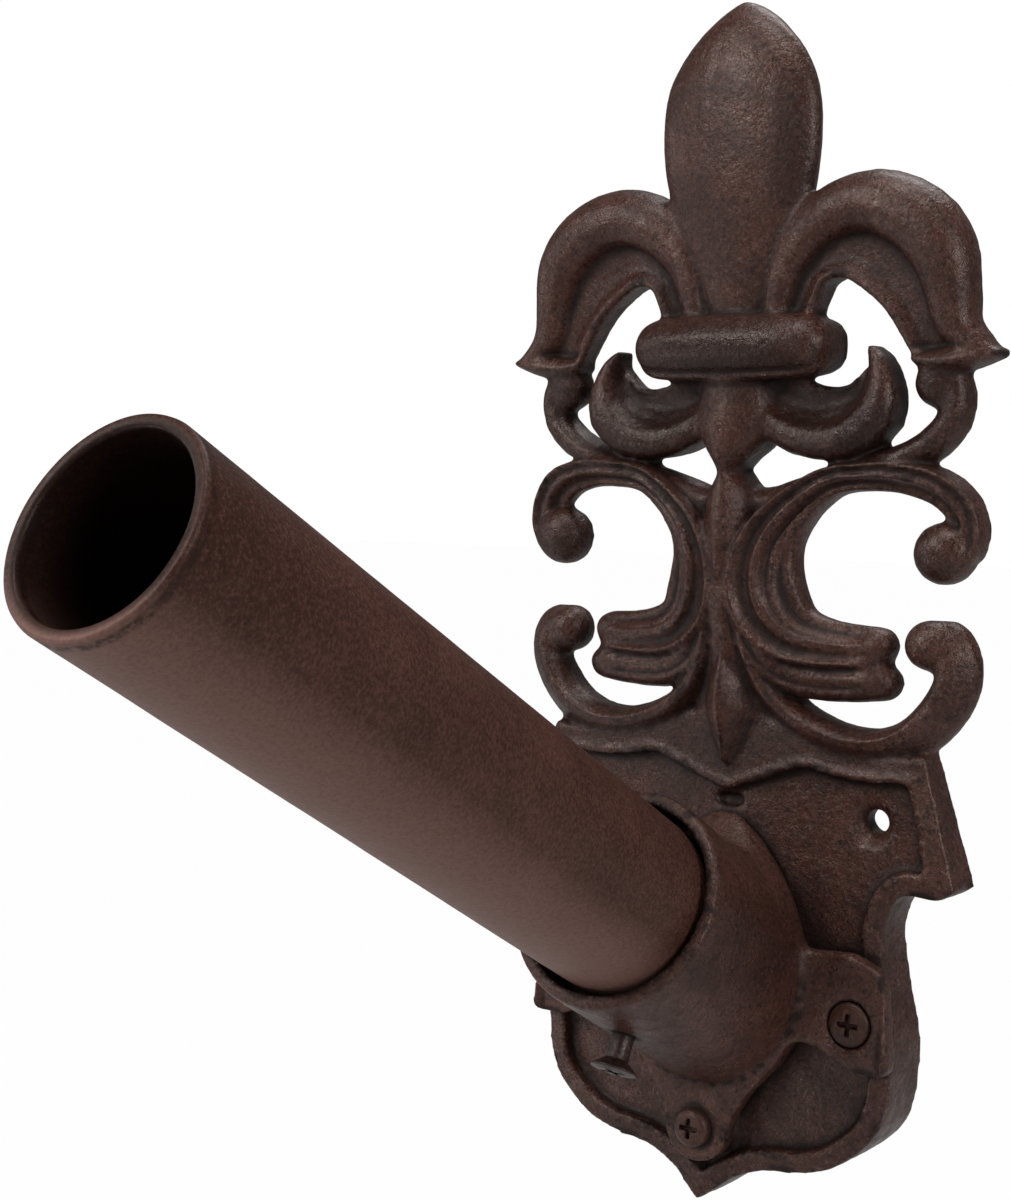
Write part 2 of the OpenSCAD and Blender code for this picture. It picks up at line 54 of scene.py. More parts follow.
# the ways that the ears' front and the set screw's head face
LEAN = np.array([0, -0.9954, 0.0962])
SET_SCREW_OUT = (0, -0.5, -0.866)

WALL_HOLE_AT = (0.0435, -0.0060, 0)
EAR_SCREW_AT = (0.044, -0.02086, -0.05157)
SLEEVE_AT = (0, -0.04464, -0.02843)

# ---------- camera and image points, in the photograph's 1011 x 1200 frame ----------

W, H = 1011, 1200
L = max(W, H)
CAMERA_AT = Vector((0.279664, -0.496322, 0.099410))
CAMERA_AIM = Vector((-0.074219, -0.013942, 0.053845))
CAMERA_ROLL = math.radians(-0.33)
CAMERA_LENS = 60.98
SENSOR = 36.0
SHIFT_X = 0.0010


def make_camera():
    data = bpy.data.cameras.new("camera")
    data.sensor_fit = "AUTO"
    data.sensor_width = SENSOR
    data.lens = CAMERA_LENS
    data.shift_x = SHIFT_X
    data.clip_start = 0.01
    data.clip_end = 50
    forward = (CAMERA_AIM - CAMERA_AT).normalized()
    right = forward.cross(Vector((0, 0, 1))).normalized()
    up = right.cross(forward)
    c, s = math.cos(CAMERA_ROLL), math.sin(CAMERA_ROLL)
    right, up = right * c - up * s, right * s + up * c
    m = Matrix((
        (right.x, up.x, -forward.x, CAMERA_AT.x),
        (right.y, up.y, -forward.y, CAMERA_AT.y),
        (right.z, up.z, -forward.z, CAMERA_AT.z),
        (0, 0, 0, 1),
    ))
    cam = bpy.data.objects.new("camera", data)
    cam.matrix_world = m
    SCENE.collection.objects.link(cam)
    SCENE.camera = cam
    return m


CAMERA = make_camera()


def shown(co):
    """Where points of the object show in the photograph's frame, one row of x and y each."""
    q = (np.c_[co, np.ones(len(co))] @ np.array(CAMERA.inverted()).T)[:, :3]
    k = L * CAMERA_LENS / SENSOR / -q[:, 2]
    return np.c_[W / 2 - SHIFT_X * L + q[:, 0] * k, H / 2 - q[:, 1] * k]


# ---------- meshes ----------

def new_piece(name, mesh, body, replaces):
    piece = bpy.data.objects.new(name, mesh)
    SCENE.collection.objects.link(piece)
    for p in mesh.polygons:
        p.use_smooth = True
    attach(piece, body)
    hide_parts(*replaces)
    return piece


def evaluated(piece):
    bpy.context.view_layer.update()
    deps = bpy.context.evaluated_depsgraph_get()
    return bpy.data.meshes.new_from_object(piece.evaluated_get(deps))


def with_modifiers(mesh, *steps):
    """The mesh after the modifiers (type, settings), all applied."""
    temp = bpy.data.objects.new("temp", mesh)
    SCENE.collection.objects.link(temp)
    for kind, settings in steps:
        mod = temp.modifiers.new(kind, kind)
        for key, value in settings.items():
            setattr(mod, key, value)
    out = evaluated(temp)
    bpy.data.objects.remove(temp)
    return out


def voxels(size):
    """The modifier that makes one even skin of small squares."""
    return ("REMESH", {"mode": "VOXEL", "voxel_size": size, "use_smooth_shade": True})


def lumps(name, size, depth, strength):
    """The modifier that makes a skin gently uneven."""
    texture = bpy.data.textures.new(name, "CLOUDS")
    texture.noise_scale = size
    texture.noise_depth = depth
    texture.noise_basis = "ORIGINAL_PERLIN"
    settings = {"texture": texture, "strength": strength, "mid_level": 0.5, "texture_coords": "LOCAL"}
    return ("DISPLACE", settings)


def points_of(mesh):
    co = np.empty(len(mesh.vertices) * 3)
    mesh.vertices.foreach_get("co", co)
    return co.reshape(-1, 3)


def normals_of(mesh):
    no = np.empty(len(mesh.vertices) * 3)
    mesh.vertices.foreach_get("normal", no)
    return no.reshape(-1, 3)


def set_points(mesh, co):
    mesh.vertices.foreach_set("co", np.ascontiguousarray(co, float).ravel())
    mesh.update()


def edges_of(mesh):
    e = np.empty(len(mesh.edges) * 2, np.int64)
    mesh.edges.foreach_get("vertices", e)
    return e.reshape(-1, 2)


def face_places(co):
    """x, z of each point, in millimetres."""
    return co[:, [0, 2]] / MM


def across(off, axis):
    """What is left of each row of off when its share along the axis is taken away."""
    return off - (off @ axis)[:, None] * axis


def fade(values, start, full):
    """0 at start and beyond it, rising or falling to 1 at full."""
    return np.clip((values - start) / (full - start), 0, 1)


def spread(values, edges, times, share=0.5):
    """values, one row per vertex, blurred along the mesh's edges."""
    n = len(values)
    a, b = edges[:, 0], edges[:, 1]
    count = np.bincount(a, minlength=n) + np.bincount(b, minlength=n)
    count = np.maximum(count, 1)[:, None]
    v = values if values.ndim == 2 else values[:, None]
    for _ in range(times):
        total = np.stack([
            np.bincount(a, v[b, k], n) + np.bincount(b, v[a, k], n) for k in range(v.shape[1])
        ], 1)
        v = v * (1 - share) + total / count * share
    return v if values.ndim == 2 else v[:, 0]


def even_out(co, edges, rounds):
    """Takes the stair steps out of a remeshed skin without shrinking it."""
    for _ in range(rounds):
        co = spread(co, edges, 1, 0.5)
        co = spread(co, edges, 1, -0.52)
    return co


def soften(co, edges, share, rounds):
    """Rounds off the skin where share is above 0."""
    return co + (spread(co, edges, rounds) - co) * share[:, None]


# ---------- what the paint knows of each vertex ----------

def add_value(mesh, name, values):
    attribute = mesh.attributes.new(name, "FLOAT", "POINT")
    attribute.data.foreach_set("value", values.astype(np.float32))


def add_relief(mesh, fine=6, broad=45):
    """How far each vertex lies in a crevice (+) or on a ridge (-), in millimetres."""
    co, no, edges = points_of(mesh), normals_of(mesh), edges_of(mesh)
    for name, times in (("relief_fine", fine), ("relief_broad", broad)):
        smooth = spread(co, edges, times)
        add_value(mesh, name, ((smooth - co) * no).sum(1) / MM)


def hemisphere(count):
    """Directions spread over the half sphere about +Z, thicker towards the pole."""
    out = []
    for i in range(count):
        z = math.sqrt((i + 0.5) / count)
        a = i * math.pi * (3 - math.sqrt(5))
        r = math.sqrt(1 - z * z)
        out.append(Vector((r * math.cos(a), r * math.sin(a), z)))
    return out


# rays that look for what stands around a vertex, how far they reach and how far off they start
RAYS = hemisphere(24)
REACH = 0.018
LIFT = 0.0007


def cad_tree():
    """All the CAD pieces at rest, as one tree that rays can be cast at."""
    verts, faces = [], []
    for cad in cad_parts.values():
        first = len(verts)
        verts += [tuple(c) for c in points_of(cad.data)]
        faces += [[first + i for i in f.vertices] for f in cad.data.polygons]
    return BVHTree.FromPolygons(verts, faces)


TREE = cad_tree()


def open_share(at, normal):
    """How open to the air a place is, 0 to 1."""
    turn = normal.to_track_quat("Z", "Y")
    shut = 0.0
    for ray in RAYS:
        hit = TREE.ray_cast(at + normal * LIFT, turn @ ray, REACH)
        if hit[0] is not None:
            shut += 1 - hit[3] / REACH
    return 1 - shut / len(RAYS)


def add_openness(mesh, coarse):
    """How open to the air each vertex is, found on a coarse skin: painted shade darkens the paint where
    it is low.
    """
    co, no = points_of(coarse), normals_of(coarse)
    found = [open_share(Vector(p), Vector(n)) for p, n in zip(co, no)]
    kd = KDTree(len(co))
    for i, p in enumerate(co):
        kd.insert(p, i)
    kd.balance()
    fine = points_of(mesh)
    values = np.empty(len(fine))
    for i, p in enumerate(fine):
        near = kd.find_n(p, 3)
        weight = [1 / (d + 0.0002) for _, _, d in near]
        values[i] = sum(w * found[k] for w, (_, k, _) in zip(weight, near)) / sum(weight)
    add_value(mesh, "openness", spread(values, edges_of(mesh), 4))


# patches of painted shade where parts lie in shade: x, z, half width, half height and how dark each is
SHADE_PATCHES = [
    (0, 125, 44, 13, 0.55),
    (30, 106, 26, 18, 0.5),
    (-30, 106, 26, 18, 0.5),
    (57, 112, 14, 16, 0.45),
    (-57, 112, 14, 16, 0.45),
    (59, 72, 12, 12, 0.3),
    (-59, 72, 12, 12, 0.3),
    (-52, 34, 20, 20, 0.35),
    (0, 14, 60, 12, 0.25),
    (42, 103, 22, 16, 0.65),
    (-45, 101, 20, 10, 0.4),
    (18, 178, 8, 26, 0.4),
    (28, -28, 7, 18, 0.3),
]


def blob(flat, x, z, rx, rz):
    """1 in the middle of an ellipse of the plate's face, falling to 0 at its edge."""
    d = np.hypot((flat[:, 0] - x) / rx, (flat[:, 1] - z) / rz)
    return np.clip(1.6 * (1 - d), 0, 1)


def add_painted_shade(mesh):
    """How dark the painted shade is at each vertex, 0 to 1."""
    flat = face_places(points_of(mesh))
    values = np.zeros(len(flat))
    for x, z, rx, rz, dark in SHADE_PATCHES:
        values = np.maximum(values, dark * blob(flat, x, z, rx, rz))
    add_value(mesh, "painted_shade", values)


# ---------- modelling on the castings ----------

def drawn_line(points, step=0.5):
    """A smooth line through the points, as many close points with their share of the way along."""
    p = np.array(points, float)
    p = np.vstack([2 * p[0] - p[1], p, 2 * p[-1] - p[-2]])
    out = []
    for a, b, c, d in zip(p, p[1:], p[2:], p[3:]):
        n = max(2, int(np.linalg.norm(c - b) / step))
        t = (np.arange(n) / n)[:, None]
        bend = 2 * a - 5 * b + 4 * c - d
        turn = 3 * b - a - 3 * c + d
        out.append(0.5 * (2 * b + (c - a) * t + bend * t ** 2 + turn * t ** 3))
    line = np.vstack(out + [p[-2:-1]])
    return line, np.linspace(0, 1, len(line))


def along_line(flat, points, width):
    """1 on a line of the plate's face, falling off to either side, on both halves of the plate."""
    line = drawn_line(points)[0]
    x, z = np.abs(flat[:, 0]), flat[:, 1]
    reach = 3 * width
    ids = np.nonzero((x > line[:, 0].min() - reach) & (z > line[:, 1].min() - reach))[0]
    gap = np.full(len(ids), 1e9)
    for px, pz in line:
        gap = np.minimum(gap, (x[ids] - px) ** 2 + (z[ids] - pz) ** 2)
    out = np.zeros(len(flat))
    out[ids] = np.exp(-gap / width ** 2)
    return out


def stroke(co, no, points, width, height, sides=(1, -1)):
    """Raises (or with a negative height sinks) the front along a line, tapered at its ends."""
    ends = 0.12  # the tapered share of the line
    for side in sides:
        line, along = drawn_line([(x * side, z) for x, z in points])
        flat = face_places(co)
        reach = width * 2.6
        near = np.all((flat > line.min(0) - reach) & (flat < line.max(0) + reach), 1)
        ids = np.nonzero(near & (no[:, 1] < -0.15))[0]
        gap = np.linalg.norm(flat[ids, None, :] - line[None, :, :], axis=2)
        first = gap.argmin(1)
        far = gap[np.arange(len(ids)), first]
        t = along[first]
        taper = fade(np.minimum(t, 1 - t), 0, ends) ** 0.7
        facing = np.clip(-no[ids, 1] * 1.4, 0, 1)
        co[ids, 1] -= height * MM * np.exp(-(far / width) ** 2) * taper * facing


# drop bud and the leaves above and below it: x, z, half width, half height, how much they are rounded
ROUND_LEAVES = [(0, 106, 15, 17, 1), (0, 78, 9, 18, 0.8), (0, 27, 9, 17, 0.6)]
# balls and lobes at the ends of the scrolls: x, z, radius
BALLS = [
    (59.8, 71, 11),
    (-58.8, 71.6, 11),
    (56.6, 46.6, 10),
    (-56.6, 44.7, 10),
    (57, 114.6, 9),
    (-57, 114.6, 9),
    (43, 45.4, 8),
    (-43, 45.4, 8),
    (44, 35.7, 8),
    (-44, 35.7, 8),
]
# the broad shoulder over each side petal
SHOULDER = [(20, 160), (24, 165.5), (39.5, 168.5), (55, 162.5), (63.5, 151.5), (66.3, 139.5), (67, 132)]
SHOULDER_WIDTH = 6

# a stroke is drawn on both halves of the plate, or once where it runs across the middle
BOTH, ONCE = (1, -1), (1,)
# width, height (negative when sunk), halves and line of each stroke
PLATE_STROKES = [
    # third rib of the C scrolls, and the groove inside it
    (1.3, 1.5, BOTH, [
        (46, 88), (38, 88.4), (29, 86.6), (21.5, 80.8), (16, 73),
        (14.4, 64), (16, 56.2), (21.5, 50.6), (31, 48.4), (41, 47.8),
    ]),
    (0.9, -0.8, BOTH, [
        (28, 88.4), (20, 82.2), (13.8, 73.8), (11.6, 64), (13.4, 55.2), (20, 49), (30, 46.6), (40, 46.2),
    ]),
    # the groove that splits the lower lobe, and the line on the low scrolls
    (0.9, -0.9, BOTH, [(6, 50), (11, 41.5), (19, 36.6), (30, 35.3), (41, 36)]),
    (1.0, -0.7, BOTH, [(7, 42), (13, 32.5), (22, 25.4), (33, 21.6), (44, 21.4), (54, 26), (60, 35)]),
    # lip of the side petals where they flare, and the hollow over it
    (1.2, 0.9, BOTH, [(50, 122.5), (58, 121.4), (66, 122), (73.5, 122.6)]),
    (1.2, -0.8, BOTH, [(50.5, 126), (58, 125.2), (65, 126.2)]),
    # bead along the foot of the collar, and the groove over it
    (0.9, 0.8, ONCE, [(-27, 118.4), (-14, 117.6), (0, 117.3), (14, 117.6), (27, 118.4)]),
    (0.8, -0.7, ONCE, [(-27, 120.4), (-14, 119.7), (0, 119.4), (14, 119.7), (27, 120.4)]),
]
# lip round the outer edge of the ears
EAR_LIP = (1.3, 1.6, BOTH, [(37, -33.5), (48, -34.5), (54.2, -38), (55.2, -50), (54.4, -63), (50, -66)])


def draw_strokes(co, no, strokes):
    for width, height, sides, points in strokes:
        stroke(co, no, points, width, height, sides)


def shape_plate(mesh):
    co, edges = points_of(mesh), edges_of(mesh)
    flat = face_places(co)
    front = fade(-co[:, 1] / MM, 6, 10)
    leaves = sum(much * blob(flat, x, z, rx, rz) for x, z, rx, rz, much in ROUND_LEAVES)
    co = soften(co, edges, np.clip(leaves, 0, 1) * front, 45)
    balls = sum(blob(flat, x, z, r, r) for x, z, r in BALLS)
    co = soften(co, edges, np.clip(balls, 0, 1), 30)
    shoulder = 1.3 * along_line(flat, SHOULDER, SHOULDER_WIDTH)
    co = soften(co, edges, np.clip(shoulder, 0, 1) * front, 45)
    # the foot of the shield leans a little to the left and hangs a little lower
    foot = fade(-flat[:, 1], 94, 107) ** 2
    co[:, 0] -= 1.3 * MM * foot
    co[:, 2] -= 1.0 * MM * foot
    set_points(mesh, co)
    draw_strokes(co, normals_of(mesh), PLATE_STROKES)
    set_points(mesh, co)


def fill_screw_rings(co):
    """Paint has nearly filled the ring about each side ear's screw head."""
    x, y, z = EAR_SCREW_AT
    for side in (1, -1):
        out = across(co - np.array([x * side, y, z]), LEAN)
        r = np.linalg.norm(out, axis=1)
        in_ring = fade(r, 0.0056, 0.0062) * fade(r, 0.0086, 0.0072)
        co = co - out / np.maximum(r, 1e-6)[:, None] * (0.55 * MM * in_ring)[:, None]
    return co


def smooth_hood(co, edges):
    """The hood runs smoothly into its back, away from the bore and the rim of the mouth."""
    off = co - np.array(SLEEVE_AT)
    outside = fade(np.linalg.norm(across(off, np.array(AXIS)), axis=1), 0.0262, 0.0282)
    behind_rim = fade(off @ np.array(AXIS), 0.034, 0.024)
    above_ears = fade(co[:, 2], -0.05, -0.04)
    return soften(co, edges, outside * behind_rim * above_ears, 40)


# where the sleeve joins the ears: how hollow that is in millimetres, how rough and how fine-grained
JOIN_HOLLOW, JOIN_ROUGH, JOIN_GRAIN = 0.18, 1.5, 380


def roughen_join(co, no, edges):
    """The join where the sleeve meets the ears is left as it was cast."""
    hollow = ((spread(co, edges, 30) - co) * no).sum(1) / MM
    for i in np.nonzero((hollow > JOIN_HOLLOW) & (no[:, 1] < -0.1))[0]:
        share = min(1, (hollow[i] - JOIN_HOLLOW) * 3)
        co[i] += no[i] * MM * JOIN_ROUGH * share * noise.noise(Vector(co[i]) * JOIN_GRAIN)


def shape_socket(mesh):
    edges = edges_of(mesh)
    co = smooth_hood(fill_screw_rings(points_of(mesh)), edges)
    set_points(mesh, co)
    no = normals_of(mesh)
    draw_strokes(co, no, [EAR_LIP])
    roughen_join(co, no, edges)
    set_points(mesh, co)


# the squares of the coarse skin that openness is found on
CASTING_COARSE = 0.002


def casting(node, voxel, lump, shape):
    """A CAD casting with its edges softened and its skin gently uneven, as poured iron is."""
    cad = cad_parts[node].data
    mesh = with_modifiers(cad.copy(), voxels(voxel))
    edges = edges_of(mesh)
    set_points(mesh, spread(even_out(points_of(mesh), edges, 12), edges, 3))
    shape(mesh)
    set_points(mesh, spread(points_of(mesh), edges, 2))
    mesh = with_modifiers(
        mesh,
        lumps(node + "_slow", size=0.011, depth=2, strength=lump),
        lumps(node + "_fast", size=0.0028, depth=3, strength=lump * 0.45),
    )
    add_relief(mesh)
    add_openness(mesh, with_modifiers(cad.copy(), voxels(CASTING_COARSE)))
    add_painted_shade(mesh)
    return new_piece(node + "_casting", mesh, "stand", [node])


# ---------- the tube ----------

TUBE_R, TUBE_WALL = 0.02415, 0.0032
TUBE_AROUND = 192


def tube_ends():
    """The foot of the tube's axis and its two ends along it, from the CAD node's own points."""
    co = points_of(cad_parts["pole_tube"].data)
    along = co @ np.array(AXIS)
    centre = Vector(co.mean(0))
    return centre - AXIS * centre.dot(AXIS), along.min(), along.max()


def tube_profile(low, high):
    """Radius and place along the axis: up the bore, round the mouth's worn edge, down the outside."""
    r, inner = TUBE_R, TUBE_R - TUBE_WALL
    bore_steps, side_steps = 60, 150
    rings = [(inner, low + (high - low) * i / bore_steps) for i in range(bore_steps)]
    rings += [
        (inner, high - 0.0012),
        (inner + 0.00015, high - 0.0005),
        (inner + 0.0006, high - 0.00008),
        (r - 0.0010, high - 0.00002),
        (r - 0.0006, high - 0.0001),
        (r - 0.00022, high - 0.0004),
        (r, high - 0.0011),
    ]
    rings += [(r, high - (high - low) * i / side_steps) for i in range(1, side_steps)]
    rings += [(r, low + 0.0004), (r - 0.0003, low), (inner + 0.0003, low)]
    return rings


def revolved(foot, rings):
    """The closed profile turned about the pole's axis."""
    n = TUBE_AROUND
    verts, faces = [], []
    for q, s in rings:
        for i in range(n):
            a = 2 * math.pi * i / n
            verts.append(foot + AXIS * s + ACROSS * (q * math.cos(a)) + OVER * (q * math.sin(a)))
    for j in range(len(rings)):
        k = (j + 1) % len(rings)
        for i in range(n):
            m = (i + 1) % n
            faces.append((j * n + i, k * n + i, k * n + m, j * n + m))
    mesh = bpy.data.meshes.new("tube")
    mesh.from_pydata([tuple(v) for v in verts], [], faces)
    bm = bmesh.new()
    bm.from_mesh(mesh)
    bmesh.ops.recalc_face_normals(bm, faces=bm.faces)
    bm.to_mesh(mesh)
    bm.free()
    return mesh


def make_tube():
    foot, low, high = tube_ends()
    mesh = revolved(foot, tube_profile(low, high))
    mesh = with_modifiers(mesh, lumps("tube_slow", size=0.016, depth=2, strength=0.00016))
    add_relief(mesh, fine=4, broad=20)
    co = points_of(mesh)
    out = across(co - np.array(foot), np.array(AXIS))
    # millimetres behind the mouth, and how much a vertex lies in the bore or on the underside
    add_value(mesh, "behind_mouth", (high - co @ np.array(AXIS)) / MM)
    add_value(mesh, "bore", fade(np.linalg.norm(out, axis=1), TUBE_R - 0.0012, TUBE_R - 0.0020))
    add_value(mesh, "under", np.clip(-(out @ np.array(OVER)) / TUBE_R, 0, 1))
    return new_piece("pole_tube_steel", mesh, "tube", ["pole_tube"])


# ---------- screws and nuts ----------

# the width of a broken edge, and the squares of the fine and the coarse skin
SCREW_EDGE, SCREW_VOXEL, SCREW_COARSE = 0.00022, 0.00018, 0.0008


def narrow_head(mesh, share):
    """Scales a screw's head about its axis, and leaves its shank and the cross in it alone."""
    co = points_of(mesh)
    along = co @ LEAN
    head = co[along > along.max() - 0.0030]
    middle = (head.min(0) + head.max(0)) / 2
    out = across(co - middle, LEAN)
    wide = fade(np.linalg.norm(out, axis=1), 0.0024, 0.0034)
    set_points(mesh, co + out * (share - 1) * wide[:, None])


def fastener(node, body="stand", paint=3, head=1.0):
    """A CAD screw or nut with its edges broken, under so many rounds of paint."""
    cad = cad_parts[node].data.copy()
    if head != 1:
        narrow_head(cad, head)
    sharp = math.radians(28)
    mesh = with_modifiers(
        cad,
        ("WELD", {"merge_threshold": 0.00001}),
        ("BEVEL", {"width": SCREW_EDGE, "segments": 2, "limit_method": "ANGLE", "angle_limit": sharp}),
        voxels(SCREW_VOXEL),
        ("SMOOTH", {"factor": 0.5, "iterations": paint}),
    )
    add_relief(mesh, fine=5, broad=30)
    add_openness(mesh, with_modifiers(cad, voxels(SCREW_COARSE)))
    add_painted_shade(mesh)
    return new_piece(node + "_part", mesh, body, [node])


# ---------- paints ----------

# linear colours of the old paint, from black (its pits, and the painted shade in crevices) to the bare
# iron
BLACK = (0.0050, 0.0019, 0.0014, 1)
DARK = (0.049, 0.0188, 0.0136, 1)
BROWN = (0.092, 0.0362, 0.0270, 1)
PALE = (0.150, 0.085, 0.070, 1)
BARE = (0.26, 0.20, 0.18, 1)
SHEEN = (1, 0.86, 0.80, 1)
SOCKET_DARK = (0.060, 0.0232, 0.0168, 1)
SOCKET_BROWN = (0.108, 0.0432, 0.0322, 1)
SCREW_DARK = (0.050, 0.0196, 0.0142, 1)
SCREW_BROWN = (0.090, 0.0368, 0.0280, 1)
# the set screw's darker colours are painted shade, for the shadow its shank lies in
BOLT_SHADED_DARK = (0.022, 0.0100, 0.0078, 1)
BOLT_SHADED_BROWN = (0.048, 0.0270, 0.0220, 1)
TUBE_DARK = (0.062, 0.0245, 0.0180, 1)
TUBE_BROWN = (0.108, 0.0440, 0.0325, 1)
TUBE_BAND = (0.030, 0.0110, 0.0074, 1)
TUBE_SPECK = (0.19, 0.092, 0.072, 1)
TUBE_PIT = (0.030, 0.0112, 0.0080, 1)
# the tube's paler underside colour is painted light, from light coming up from below
TUBE_UNDER_LIGHT = (0.27, 0.145, 0.118, 1)
TUBE_RING = (0.026, 0.0100, 0.0070, 1)


class Net:
    """Short names for building a node tree."""

    def __init__(self, tree):
        tree.nodes.clear()
        self.tree = tree

    def node(self, kind, **settings):
        n = self.tree.nodes.new(kind)
        for k, v in settings.items():
            setattr(n, k, v)
        return n

    def link(self, a, b):
        self.tree.links.new(a, b)

    def put(self, socket, value):
        if hasattr(value, "is_output"):
            self.link(value, socket)
        else:
            socket.default_value = value

    def math(self, op, a, b=0.0, clamp=False):
        n = self.node("ShaderNodeMath", operation=op, use_clamp=clamp)
        self.put(n.inputs[0], a)
        self.put(n.inputs[1], b)
        return n.outputs[0]

    def noise(self, where, scale, detail=3.0, rough=0.55, distortion=0.0):
        n = self.node("ShaderNodeTexNoise")
        self.link(where, n.inputs["Vector"])
        n.inputs["Scale"].default_value = scale
        n.inputs["Detail"].default_value = detail
        n.inputs["Roughness"].default_value = rough
        n.inputs["Distortion"].default_value = distortion
        return n.outputs["Fac"]

    def voronoi(self, where, scale):
        n = self.node("ShaderNodeTexVoronoi", feature="F1")
        self.link(where, n.inputs["Vector"])
        n.inputs["Scale"].default_value = scale
        return n.outputs["Distance"]

    def ramp(self, value, low, high, a=0.0, b=1.0):
        n = self.node("ShaderNodeMapRange", clamp=True)
        self.put(n.inputs["Value"], value)
        n.inputs["From Min"].default_value = low
        n.inputs["From Max"].default_value = high
        n.inputs["To Min"].default_value = a
        n.inputs["To Max"].default_value = b
        return n.outputs["Result"]

    def mix(self, share, a, b):
        # sockets 6 and 7 are the two colours, and output 2 is their mix
        n = self.node("ShaderNodeMix", data_type="RGBA")
        self.put(n.inputs["Factor"], share)
        self.put(n.inputs[6], a)
        self.put(n.inputs[7], b)
        return n.outputs[2]

    def attribute(self, name):
        return self.node("ShaderNodeAttribute", attribute_name=name).outputs["Fac"]

    def bump(self, height, distance, strength, normal=None):
        n = self.node("ShaderNodeBump")
        self.link(height, n.inputs["Height"])
        n.inputs["Distance"].default_value = distance
        n.inputs["Strength"].default_value = strength
        if normal is not None:
            self.link(normal, n.inputs["Normal"])
        return n.outputs["Normal"]

    def out(self, kind, shader):
        self.link(shader, self.node(kind).inputs["Surface"])


def new_paint(name):
    mat = bpy.data.materials.new(name)
    mat.use_nodes = True
    return mat, Net(mat.node_tree)


def coat(n, colour, rough, specular, bumps):
    """The paint's shader; bumps are (height, distance, strength), from coarse to fine."""
    shader = n.node("ShaderNodeBsdfPrincipled")
    n.link(colour, shader.inputs["Base Color"])
    n.link(rough, shader.inputs["Roughness"])
    shader.inputs["Specular IOR Level"].default_value = specular
    shader.inputs["Specular Tint"].default_value = SHEEN
    normal = None
    for height, distance, strength in bumps:
        normal = n.bump(height, distance, strength, normal)
    n.link(normal, shader.inputs["Normal"])
    n.out("ShaderNodeOutputMaterial", shader.outputs[0])


def painted_iron(name, dark, brown, grain=1.0, worn=1.0, gloss=0.29, hollow_shade=0.93):
    """Brown satin paint over a sandy casting: mottled, worn on ridges, with painted shade in crevices
    and hollows and in patches where parts lie in shade.
    """
    mat, n = new_paint(name)
    at = n.node("ShaderNodeTexCoord").outputs["Object"]
    fine, broad = n.attribute("relief_fine"), n.attribute("relief_broad")
    mottle = n.noise(at, 75, 5, 0.62, 0.4)
    patch = n.noise(at, 280, 4, 0.65)
    grit = n.noise(at, 820, 3, 0.7, 0.5)
    sand = n.noise(at, 1900, 2, 0.7)
    pore = n.voronoi(at, 620)
    # the paint itself: mottled, with pale grit, pits and sand
    colour = n.mix(n.ramp(mottle, 0.38, 0.64), dark, brown)
    colour = n.mix(n.ramp(grit, 0.54, 0.70, 0, 0.55 * grain), colour, PALE)
    pitted = n.math("MULTIPLY", n.ramp(grit, 0.5, 0.38), n.ramp(patch, 0.4, 0.58))
    colour = n.mix(n.math("MULTIPLY", pitted, 0.9 * grain), colour, BLACK)
    colour = n.mix(n.ramp(sand, 0.5, 0.36, 0, 0.55 * grain), colour, BLACK)
    # painted shade in patches where parts of the holder lie in shade
    shaded = n.math("MULTIPLY", n.attribute("painted_shade"), n.ramp(mottle, 0.3, 0.55, 0.8, 1.2))
    colour = n.mix(shaded, colour, BLACK)
    # painted shade where little light reaches, in crevices and hollows, its edge broken up by the
    # patches
    ragged = n.math("MULTIPLY", n.math("SUBTRACT", patch, 0.5), 0.35)
    shut = n.ramp(n.math("ADD", n.attribute("openness"), ragged), 0.80, 0.46)
    crevice = n.math("MAXIMUM", n.ramp(fine, 0.03, 0.14), n.ramp(broad, 0.12, 0.75))
    crevice = n.math("MAXIMUM", crevice, shut)
    colour = n.mix(n.math("MULTIPLY", crevice, hollow_shade), colour, BLACK)
    # ridges rubbed pale, and chips down to the iron
    ridge = n.math("MAXIMUM", n.ramp(fine, -0.02, -0.11), n.ramp(broad, -0.35, -1.2))
    rub = n.math("MULTIPLY", ridge, n.ramp(patch, 0.46, 0.62), clamp=True)
    rub = n.math("MULTIPLY", rub, n.ramp(grit, 0.42, 0.56))
    colour = n.mix(n.math("MULTIPLY", rub, 0.45 * worn), colour, PALE)
    chip = n.math("MULTIPLY", ridge, n.ramp(pore, 0.2, 0.1))
    chip = n.math("MULTIPLY", chip, n.ramp(mottle, 0.46, 0.58), clamp=True)
    colour = n.mix(n.math("MULTIPLY", chip, 0.7 * worn), colour, BARE)
    # satin, duller in crevices and where the mottle is dark
    rough = n.ramp(patch, 0.32, 0.68, gloss - 0.09, gloss + 0.13)
    rough = n.math("ADD", rough, n.math("MULTIPLY", crevice, 0.3))
    rough = n.math("ADD", rough, n.ramp(mottle, 0.4, 0.62, 0.08, -0.06))
    bumps = [(patch, 0.0006, 0.55 * grain), (grit, 0.00035, 0.6 * grain), (sand, 0.00013, 0.55 * grain)]
    coat(n, colour, rough, 0.43, bumps)
    return mat


def along_pole(n, at):
    """Coordinates turned to the pole's axis and then stretched, so that streaks follow the pole."""
    turn, pull = n.node("ShaderNodeMapping"), n.node("ShaderNodeMapping")
    turn.inputs["Rotation"].default_value = (TILT, 0, 0)
    pull.inputs["Scale"].default_value = (1, 0.1, 1)
    n.link(at, turn.inputs["Vector"])
    n.link(turn.outputs["Vector"], pull.inputs["Vector"])
    return pull.outputs["Vector"]


